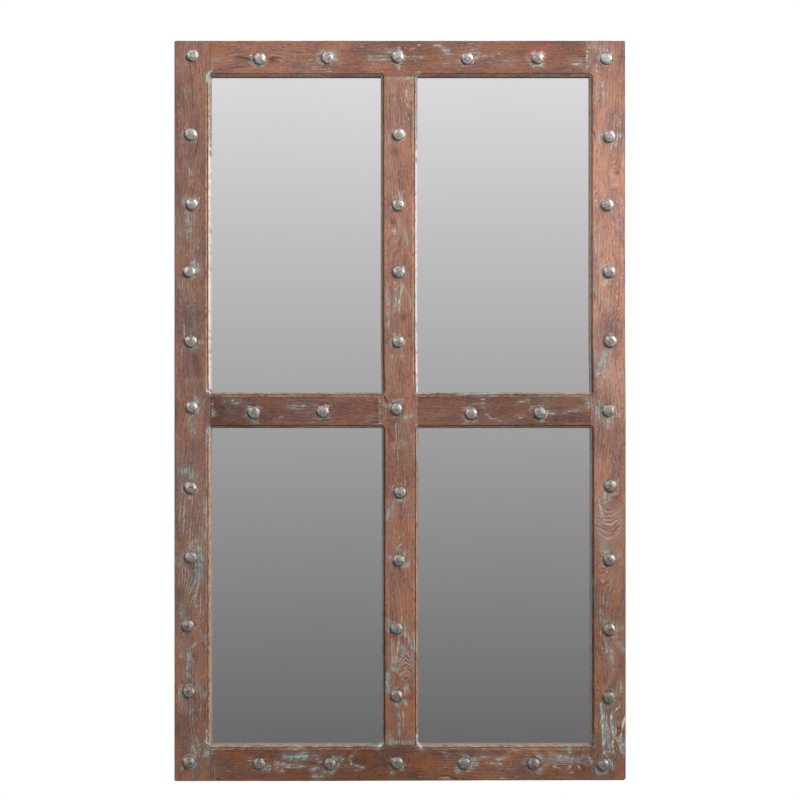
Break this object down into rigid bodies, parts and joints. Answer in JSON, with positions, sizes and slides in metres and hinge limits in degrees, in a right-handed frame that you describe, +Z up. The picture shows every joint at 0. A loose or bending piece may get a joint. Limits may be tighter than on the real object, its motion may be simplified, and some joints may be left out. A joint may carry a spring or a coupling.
{
  "type": "window frame mirror",
  "caption": "Tall wall mirror set behind a four light wooden window frame nailed with domed iron studs, with ring hangers on its back.",
  "frame": {"origin": "centre of the back panel's rear face, in the plane of the frame's back", "axes": "+Z up along the tall side, -Y out of the front, +X to the right as seen from the front"},
  "size_m": [0.914, 0.0496, 1.499],
  "materials": {
    "frame_wood": "reclaimed hardwood, waxed, with paint remnants in the grain",
    "forged_iron": "hand hammered, polished on the high spots",
    "mirror_glass": "plain silvered glass",
    "back_plywood": "bare plywood",
    "zinc_steel": "zinc plated",
    "bumper_rubber": "matt"
  },
  "bodies": {
    "frame_body": {"left_stile": "frame_wood", "right_stile": "frame_wood", "top_rail": "frame_wood", "bottom_rail": "frame_wood", "mullion": "frame_wood", "left_mid_rail": "frame_wood", "right_mid_rail": "frame_wood", "stud_left_01": "forged_iron", "stud_left_02": "forged_iron", "stud_left_03": "forged_iron", "stud_left_04": "forged_iron", "stud_left_05": "forged_iron", "stud_left_06": "forged_iron", "stud_left_07": "forged_iron", "stud_left_08": "forged_iron", "stud_left_09": "forged_iron", "stud_left_10": "forged_iron", "stud_left_11": "forged_iron", "stud_right_01": "forged_iron", "stud_right_02": "forged_iron", "stud_right_03": "forged_iron", "stud_right_04": "forged_iron", "stud_right_05": "forged_iron", "stud_right_06": "forged_iron", "stud_right_07": "forged_iron", "stud_right_08": "forged_iron", "stud_right_09": "forged_iron", "stud_right_10": "forged_iron", "stud_right_11": "forged_iron", "stud_mullion_01": "forged_iron", "stud_mullion_02": "forged_iron", "stud_mullion_03": "forged_iron", "stud_mullion_04": "forged_iron", "stud_mullion_05": "forged_iron", "stud_mullion_06": "forged_iron", "stud_mullion_07": "forged_iron", "stud_mullion_08": "forged_iron", "stud_mullion_09": "forged_iron", "stud_top_01": "forged_iron", "stud_top_02": "forged_iron", "stud_top_03": "forged_iron", "stud_top_04": "forged_iron", "stud_top_05": "forged_iron", "stud_bottom_01": "forged_iron", "stud_bottom_02": "forged_iron", "stud_bottom_03": "forged_iron", "stud_bottom_04": "forged_iron", "stud_bottom_05": "forged_iron", "stud_mid_left_01": "forged_iron", "stud_mid_left_02": "forged_iron", "stud_mid_right_01": "forged_iron", "stud_mid_right_02": "forged_iron", "mirror_sheet": "mirror_glass", "back_panel": "back_plywood", "left_hanger_strap": "zinc_steel", "right_hanger_strap": "zinc_steel", "left_bumper": "bumper_rubber", "right_bumper": "bumper_rubber"},
    "left_ring": {"left_hanger_ring": "zinc_steel"},
    "right_ring": {"right_hanger_ring": "zinc_steel"}
  },
  "joints": [
    {"name": "left_ring_swing", "type": "hinge", "parent": "frame_body", "child": "left_ring", "pos_m": [-0.42575, 0.0038, 0.37475], "axis": [1, 0, 0], "range_deg": [0, 174]},
    {"name": "right_ring_swing", "type": "hinge", "parent": "frame_body", "child": "right_ring", "pos_m": [0.42575, 0.0038, 0.37475], "axis": [1, 0, 0], "range_deg": [0, 174]}
  ]
}
